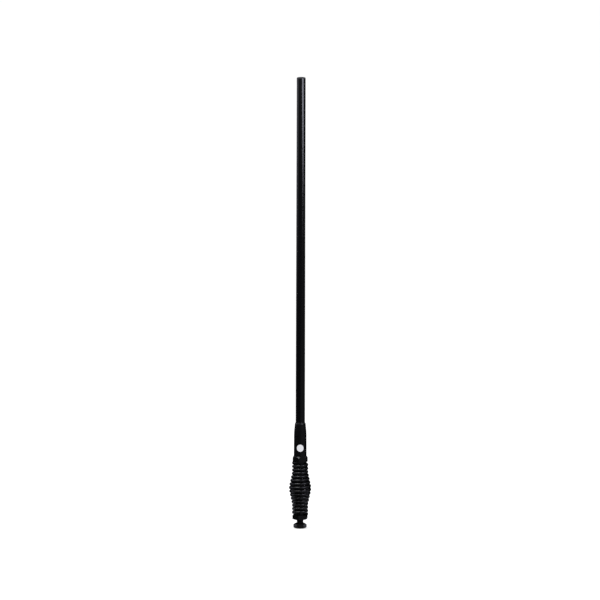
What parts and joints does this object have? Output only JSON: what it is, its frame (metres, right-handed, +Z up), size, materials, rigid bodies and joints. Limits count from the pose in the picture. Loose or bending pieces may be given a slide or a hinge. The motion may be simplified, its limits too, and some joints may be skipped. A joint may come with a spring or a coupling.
{
  "type": "collinear antenna",
  "caption": "Vehicle whip antenna: black radome over a collinear array, ferrule, barrel spring between hexagonal collars, hollow stud with coaxial socket, washer and nut.",
  "frame": {"origin": "on the whip's axis, at the seat under the lower collar that rests on the vehicle's bracket", "axes": "+Z up the whip to its tip, -Y towards the viewer of the picture, +X to the viewer's right"},
  "size_m": [0.0462, 0.0462, 0.9293],
  "materials": {
    "collar_black": "gloss black plated steel",
    "ferrule_black": "satin black anodised aluminium",
    "spring_black": "gloss black powder coat",
    "nut_black": "black plated steel",
    "thread_black": "black plated steel, threaded",
    "radome_black": "gloss black fibreglass",
    "cap_black": "moulded black nylon",
    "plain_steel": "turned steel",
    "plated_brass": "nickel plated",
    "brass": "turned brass",
    "copper": "bright copper",
    "white_plastic": "turned white plastic",
    "former_plastic": "turned natural nylon",
    "cable_jacket": "black cable jacket",
    "seal_rubber": "moulded rubber",
    "grey_foam": "open foam"
  },
  "bodies": {
    "base": {"lower_collar": "collar_black", "mounting_stud": "thread_black", "socket_insulator": "white_plastic", "socket_contact": "brass", "cable_crimp": "plated_brass"},
    "washer": {"lock_washer": "nut_black"},
    "nut": {"mounting_nut": "nut_black"},
    "spring_middle": {"barrel_spring": "spring_black", "feed_cable": "cable_jacket"},
    "whip": {"upper_collar": "collar_black", "joint_stud": "plain_steel", "joint_seal": "seal_rubber", "whip_ferrule": "ferrule_black", "radome_tube": "radome_black", "end_cap": "cap_black", "decoupling_sleeve": "copper", "sleeve_spacer": "white_plastic", "feed_washer": "brass", "feed_insulator": "white_plastic", "lower_radiator": "brass", "coil_former": "former_plastic", "phasing_coil": "copper", "upper_radiator": "brass", "foam_spacer_1": "grey_foam", "foam_spacer_2": "grey_foam", "foam_spacer_3": "grey_foam", "foam_spacer_4": "grey_foam", "foam_spacer_5": "grey_foam"}
  },
  "joints": [
    {"name": "washer_slide", "type": "slide", "parent": "base", "child": "washer", "axis": [0, 0, 1], "range_m": [0, 0.0081]},
    {"name": "nut_turn", "type": "hinge", "parent": "washer", "child": "nut", "pos_m": [0, 0, -0.0136], "axis": [0, 0, 1], "range_deg": [0, 1943]},
    {"name": "lean_sideways", "type": "hinge", "parent": "base", "child": "spring_middle", "pos_m": [0, 0, 0.0437], "axis": [0, 1, 0], "range_deg": [-30, 30], "stiffness_Nm_per_rad": 17, "deforming": ["barrel_spring", "feed_cable"]},
    {"name": "lean_back", "type": "hinge", "parent": "spring_middle", "child": "whip", "pos_m": [0, 0, 0.0837], "axis": [1, 0, 0], "range_deg": [-30, 30], "stiffness_Nm_per_rad": 17, "deforming": ["barrel_spring", "feed_cable"]}
  ],
  "couplings": [
    {"joint": "washer_slide", "follows": "nut_turn", "m_per_rad": 0.00023873}
  ]
}
